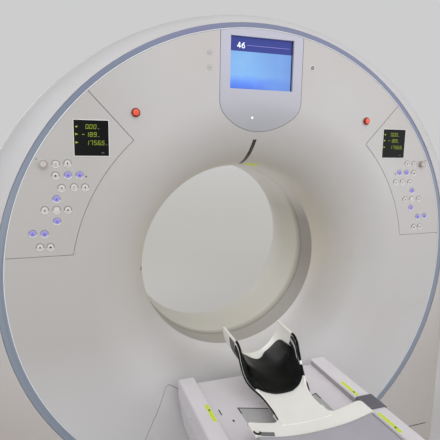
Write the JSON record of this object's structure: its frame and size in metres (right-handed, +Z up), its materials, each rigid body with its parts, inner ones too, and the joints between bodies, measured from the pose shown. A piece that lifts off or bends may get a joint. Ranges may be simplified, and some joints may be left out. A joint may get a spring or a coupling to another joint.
{
  "type": "ct scanner",
  "caption": "Ring-shaped gantry with a funnel-shaped bore, key panels and display, and a lifting couch whose sliding top carries a mattress and a head holder.",
  "frame": {"origin": "on the floor under the gantry's base plate, straight below the point where the bore axis meets the scan plane", "axes": "+Z up, +Y along the bore from the couch into the gantry, +X to the right seen from the couch"},
  "size_m": [1.956, 3.32, 1.868],
  "materials": {
    "shell_white": "satin moulded shell",
    "disc_grey": "satin moulded cover",
    "plinth_grey": "matt moulding",
    "band_blue": "satin tinted moulding",
    "window_grey": "matt film",
    "screen_glass": "dark display glass",
    "readout_glass": "dark display glass",
    "laser_glass": "dark window",
    "collar_white": "matt collar",
    "stop_red": "glossy dome",
    "knob_grey": "matt grip",
    "key_grey": "matt key",
    "frame_paint": "powder coat",
    "ring_paint": "powder coat",
    "bearing_steel": "ground steel",
    "ball_steel": "polished",
    "drum_metal": "machined casting",
    "tube_metal": "machined casting",
    "box_paint": "paint",
    "detector_metal": "anodised",
    "generator_metal": "folded sheet",
    "ring_plastic": "cast resin",
    "brush_plastic": "moulded block",
    "motor_paint": "paint",
    "belt_rubber": "matt rubber",
    "pulley_steel": "turned steel",
    "column_metal": "anodised extrusion",
    "couch_frame": "welded frame",
    "couch_lilac": "satin moulded shell",
    "cap_lilac": "matt moulding",
    "rail_steel": "ground steel",
    "drive_metal": "anodised",
    "clamp_dark": "matt grip",
    "roller_plastic": "turned plastic",
    "cradle_grey": "laminate shell",
    "mat_grey": "coated fabric",
    "holder_white": "satin moulding",
    "cushion_black": "coated foam"
  },
  "bodies": {
    "gantry": {"base_frame": "frame_paint", "stator_ring": "ring_paint", "bearing_outer": "bearing_steel", "front_cover": "disc_grey", "lower_cover": "disc_grey", "laser_windows": "laser_glass", "accent_ring": "band_blue", "outer_shell": "shell_white", "plinth": "plinth_grey", "rear_cover": "shell_white", "scan_window": "window_grey", "display_bezel": "disc_grey", "display_screen": "screen_glass", "control_panel_left": "disc_grey", "control_panel_right": "disc_grey", "readouts": "readout_glass", "stop_collars": "collar_white", "brush_block": "brush_plastic", "drive_motor": "motor_paint", "drive_belt": "belt_rubber", "couch_base": "frame_paint", "base_column": "column_metal", "base_cover": "cap_lilac"},
    "rotor": {"rotor_drum": "drum_metal", "bearing_inner": "bearing_steel", "xray_tube": "tube_metal", "collimator": "box_paint", "detector": "detector_metal", "hv_generator": "generator_metal", "slip_ring": "ring_plastic"},
    "ball_cage": {"bearing_balls": "ball_steel"},
    "motor_rotor": {"motor_pulley": "pulley_steel"},
    "middle_stage": {"middle_column": "column_metal", "middle_cover": "cap_lilac"},
    "top_stage": {"top_column": "column_metal", "upper_skirt": "cap_lilac", "support_frame": "couch_frame", "couch_shell": "couch_lilac", "couch_end_caps": "cap_lilac", "slide_rails": "rail_steel", "slide_drive": "drive_metal", "rail_clamp": "clamp_dark"},
    "roller": {"front_roller": "roller_plastic"},
    "sliding_top": {"tabletop": "cradle_grey", "carriage": "drive_metal", "mattress": "mat_grey", "head_holder": "holder_white", "head_cushion": "cushion_black"},
    "stop_left": {"stop_button_left": "stop_red"},
    "dial_left": {"knob_left": "knob_grey"},
    "key_up_left_cap": {"key_up_left": "key_grey"},
    "key_down_left_cap": {"key_down_left": "key_grey"},
    "key_outer_left_cap": {"key_outer_left": "key_grey"},
    "key_inner_left_cap": {"key_inner_left": "key_grey"},
    "stop_right": {"stop_button_right": "stop_red"},
    "dial_right": {"knob_right": "knob_grey"},
    "key_up_right_cap": {"key_up_right": "key_grey"},
    "key_down_right_cap": {"key_down_right": "key_grey"},
    "key_outer_right_cap": {"key_outer_right": "key_grey"},
    "key_inner_right_cap": {"key_inner_right": "key_grey"}
  },
  "joints": [
    {"name": "rotor_spin", "type": "hinge", "parent": "gantry", "child": "rotor", "pos_m": [0, 0, 0.94], "axis": [0, 1, 0], "continuous": true},
    {"name": "ball_cage_spin", "type": "hinge", "parent": "gantry", "child": "ball_cage", "pos_m": [0, 0, 0.94], "axis": [0, 1, 0], "continuous": true},
    {"name": "motor_spin", "type": "hinge", "parent": "gantry", "child": "motor_rotor", "pos_m": [-0.43592, 0.272, 0.31744], "axis": [0, 1, 0], "continuous": true},
    {"name": "couch_lift", "type": "slide", "parent": "gantry", "child": "middle_stage", "axis": [0, 0, 1], "range_m": [-0.06, 0.11]},
    {"name": "top_stage_lift", "type": "slide", "parent": "middle_stage", "child": "top_stage", "axis": [0, 0, 1], "range_m": [-0.06, 0.11]},
    {"name": "table_slide", "type": "slide", "parent": "top_stage", "child": "sliding_top", "axis": [0, 1, 0], "range_m": [0, 1.5]},
    {"name": "roller_turn", "type": "hinge", "parent": "top_stage", "child": "roller", "pos_m": [0, -0.75, 0.5382], "axis": [1, 0, 0], "range_deg": [-5400, 0]},
    {"name": "stop_left_press", "type": "slide", "parent": "gantry", "child": "stop_left", "axis": [0, 1, 0], "range_m": [0, 0.004]},
    {"name": "dial_left_turn", "type": "hinge", "parent": "gantry", "child": "dial_left", "pos_m": [-0.73, -0.31, 1.347], "axis": [0, 1, 0], "range_deg": [-150, 150]},
    {"name": "key_up_left_press", "type": "slide", "parent": "gantry", "child": "key_up_left_cap", "axis": [0, 1, 0], "range_m": [0, 0.0015], "stiffness_N_per_m": 900},
    {"name": "key_down_left_press", "type": "slide", "parent": "gantry", "child": "key_down_left_cap", "axis": [0, 1, 0], "range_m": [0, 0.0015], "stiffness_N_per_m": 900},
    {"name": "key_outer_left_press", "type": "slide", "parent": "gantry", "child": "key_outer_left_cap", "axis": [0, 1, 0], "range_m": [0, 0.0015], "stiffness_N_per_m": 900},
    {"name": "key_inner_left_press", "type": "slide", "parent": "gantry", "child": "key_inner_left_cap", "axis": [0, 1, 0], "range_m": [0, 0.0015], "stiffness_N_per_m": 900},
    {"name": "stop_right_press", "type": "slide", "parent": "gantry", "child": "stop_right", "axis": [0, 1, 0], "range_m": [0, 0.004]},
    {"name": "dial_right_turn", "type": "hinge", "parent": "gantry", "child": "dial_right", "pos_m": [0.73, -0.31, 1.347], "axis": [0, 1, 0], "range_deg": [-150, 150]},
    {"name": "key_up_right_press", "type": "slide", "parent": "gantry", "child": "key_up_right_cap", "axis": [0, 1, 0], "range_m": [0, 0.0015], "stiffness_N_per_m": 900},
    {"name": "key_down_right_press", "type": "slide", "parent": "gantry", "child": "key_down_right_cap", "axis": [0, 1, 0], "range_m": [0, 0.0015], "stiffness_N_per_m": 900},
    {"name": "key_outer_right_press", "type": "slide", "parent": "gantry", "child": "key_outer_right_cap", "axis": [0, 1, 0], "range_m": [0, 0.0015], "stiffness_N_per_m": 900},
    {"name": "key_inner_right_press", "type": "slide", "parent": "gantry", "child": "key_inner_right_cap", "axis": [0, 1, 0], "range_m": [0, 0.0015], "stiffness_N_per_m": 900}
  ],
  "couplings": [
    {"joint": "ball_cage_spin", "follows": "rotor_spin", "ratio": 0.491},
    {"joint": "motor_spin", "follows": "rotor_spin", "ratio": 10},
    {"joint": "top_stage_lift", "follows": "couch_lift", "ratio": 1},
    {"joint": "roller_turn", "follows": "table_slide", "rad_per_m": -62.5}
  ]
}
